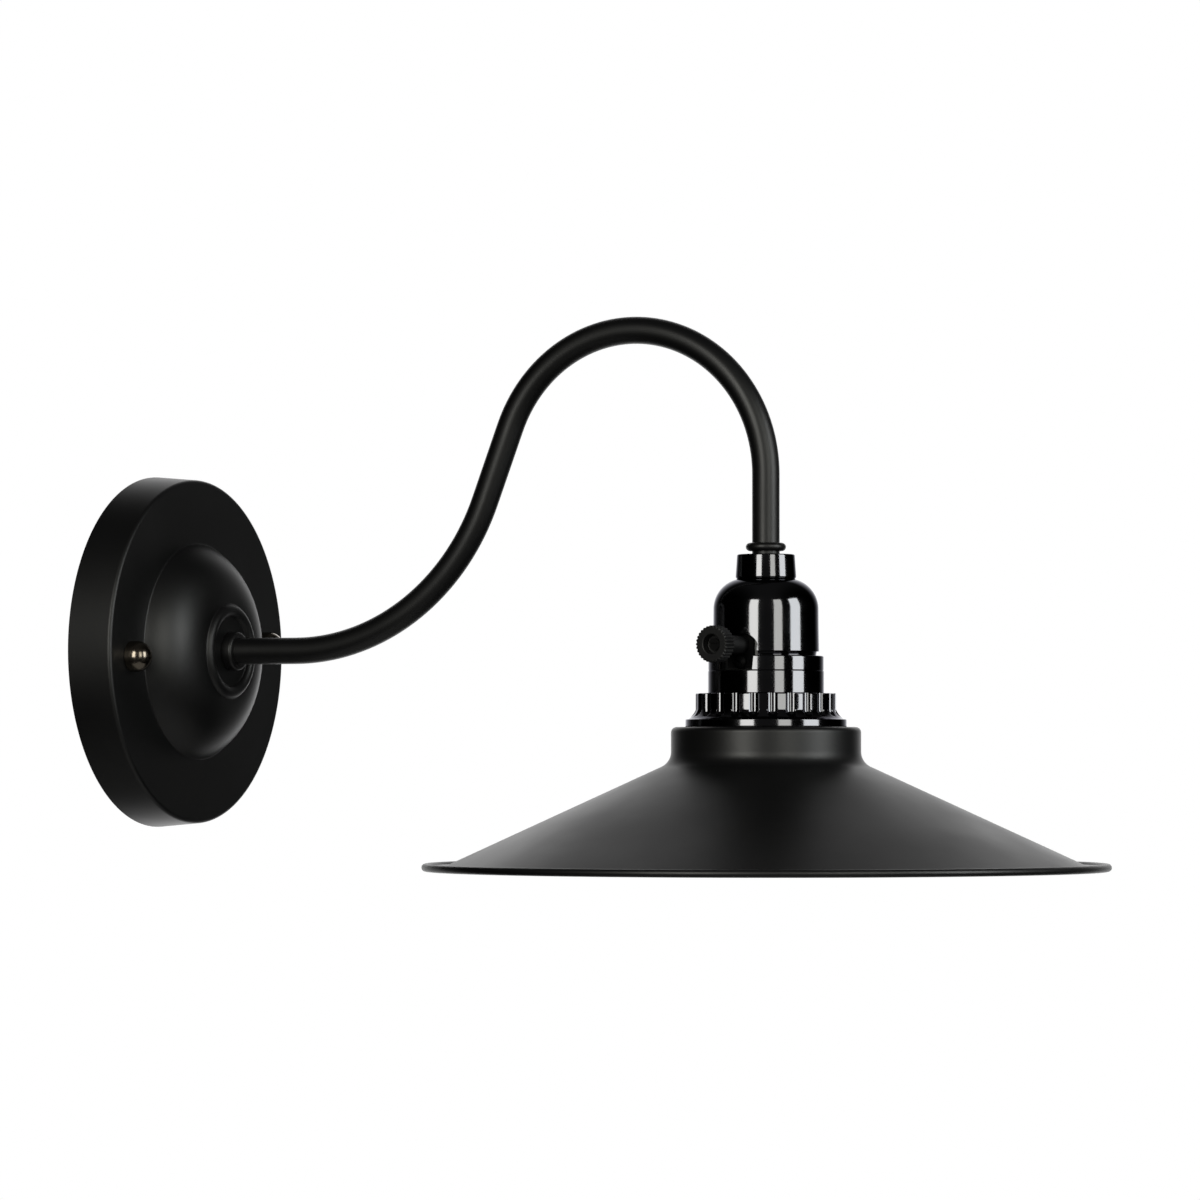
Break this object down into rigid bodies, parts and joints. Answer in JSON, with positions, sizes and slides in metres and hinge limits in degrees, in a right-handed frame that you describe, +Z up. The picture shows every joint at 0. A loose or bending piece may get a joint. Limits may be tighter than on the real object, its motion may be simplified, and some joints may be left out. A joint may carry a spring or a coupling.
{
  "type": "gooseneck wall sconce",
  "caption": "Gooseneck wall lamp with a domed wall plate, bent tube arm, keyed screw lampholder and a wide shallow cone shade clamped by a fluted ring.",
  "frame": {"origin": "centre of the canopy's back edge, on the wall, on the arm's axis where it leaves the canopy", "axes": "+Z up the wall, +Y into the wall, so the lamp reaches out along -Y; the switch key points to -X, turned 8 degrees towards the wall"},
  "size_m": [0.25, 0.3801, 0.2031],
  "materials": {
    "powder_black": "satin black powder coat",
    "pearl_nickel": "gloss black nickel plate",
    "warm_nickel": "gloss warm nickel plate",
    "zinc_steel": "zinc plated",
    "spring_brass": "plain",
    "blackened_steel": "phosphate blackened and oiled",
    "spring_steel": "plain",
    "black_moulding": "matte black moulding",
    "white_moulding": "matte off-white moulding",
    "grey_fibre": "matte grey fibre",
    "brown_insulation": "smooth",
    "blue_insulation": "smooth",
    "green_insulation": "smooth"
  },
  "bodies": {
    "body": {"arm_collar": "powder_black", "arm_nut": "zinc_steel", "arm_tube": "powder_black", "arm_washer": "zinc_steel", "block_screws": "zinc_steel", "canopy": "powder_black", "canopy_cap_nuts": "warm_nickel", "check_ring": "powder_black", "clamp_screws": "zinc_steel", "contact_carrier": "black_moulding", "contact_foot": "spring_brass", "core_screws": "zinc_steel", "detent_spring": "spring_steel", "earth_lead": "green_insulation", "earth_screw": "zinc_steel", "earth_terminal": "spring_brass", "feed_strap": "spring_brass", "insulating_liner": "grey_fibre", "line_contact": "spring_brass", "line_lead": "brown_insulation", "line_terminal": "spring_brass", "lower_shade_ring": "pearl_nickel", "mounting_bracket": "zinc_steel", "neutral_lead": "blue_insulation", "neutral_terminal": "spring_brass", "plate_screw": "blackened_steel", "screw_shell": "spring_brass", "shade": "powder_black", "socket_cap": "pearl_nickel", "socket_collar": "pearl_nickel", "socket_nut": "zinc_steel", "socket_shell": "pearl_nickel", "socket_washer": "zinc_steel", "spindle_plate": "blackened_steel", "stud_nuts": "zinc_steel", "stud_screws": "zinc_steel", "switch_housing": "black_moulding", "terminal_barrels": "spring_brass", "terminal_block": "white_moulding", "terminal_screws": "zinc_steel", "tube_bushes": "black_moulding", "upper_shade_ring": "pearl_nickel"},
    "switch_key": {"switch_knob": "black_moulding", "knob_screw": "blackened_steel", "switch_spindle": "zinc_steel", "switch_rotor": "white_moulding", "rotor_contact": "spring_brass"},
    "centre_contact": {"centre_contact": "spring_brass"}
  },
  "joints": [
    {"name": "switch_turn", "type": "hinge", "parent": "body", "child": "switch_key", "pos_m": [0, -0.255, 0.0004], "axis": [-0.9903, 0.1392, 0], "continuous": true, "deforming": ["detent_spring"]},
    {"name": "centre_contact_press", "type": "hinge", "parent": "body", "child": "centre_contact", "pos_m": [0.0005, -0.25144, -0.0226], "axis": [-0.9903, 0.1392, 0], "range_deg": [0, 15], "stiffness_Nm_per_rad": 0.12}
  ]
}
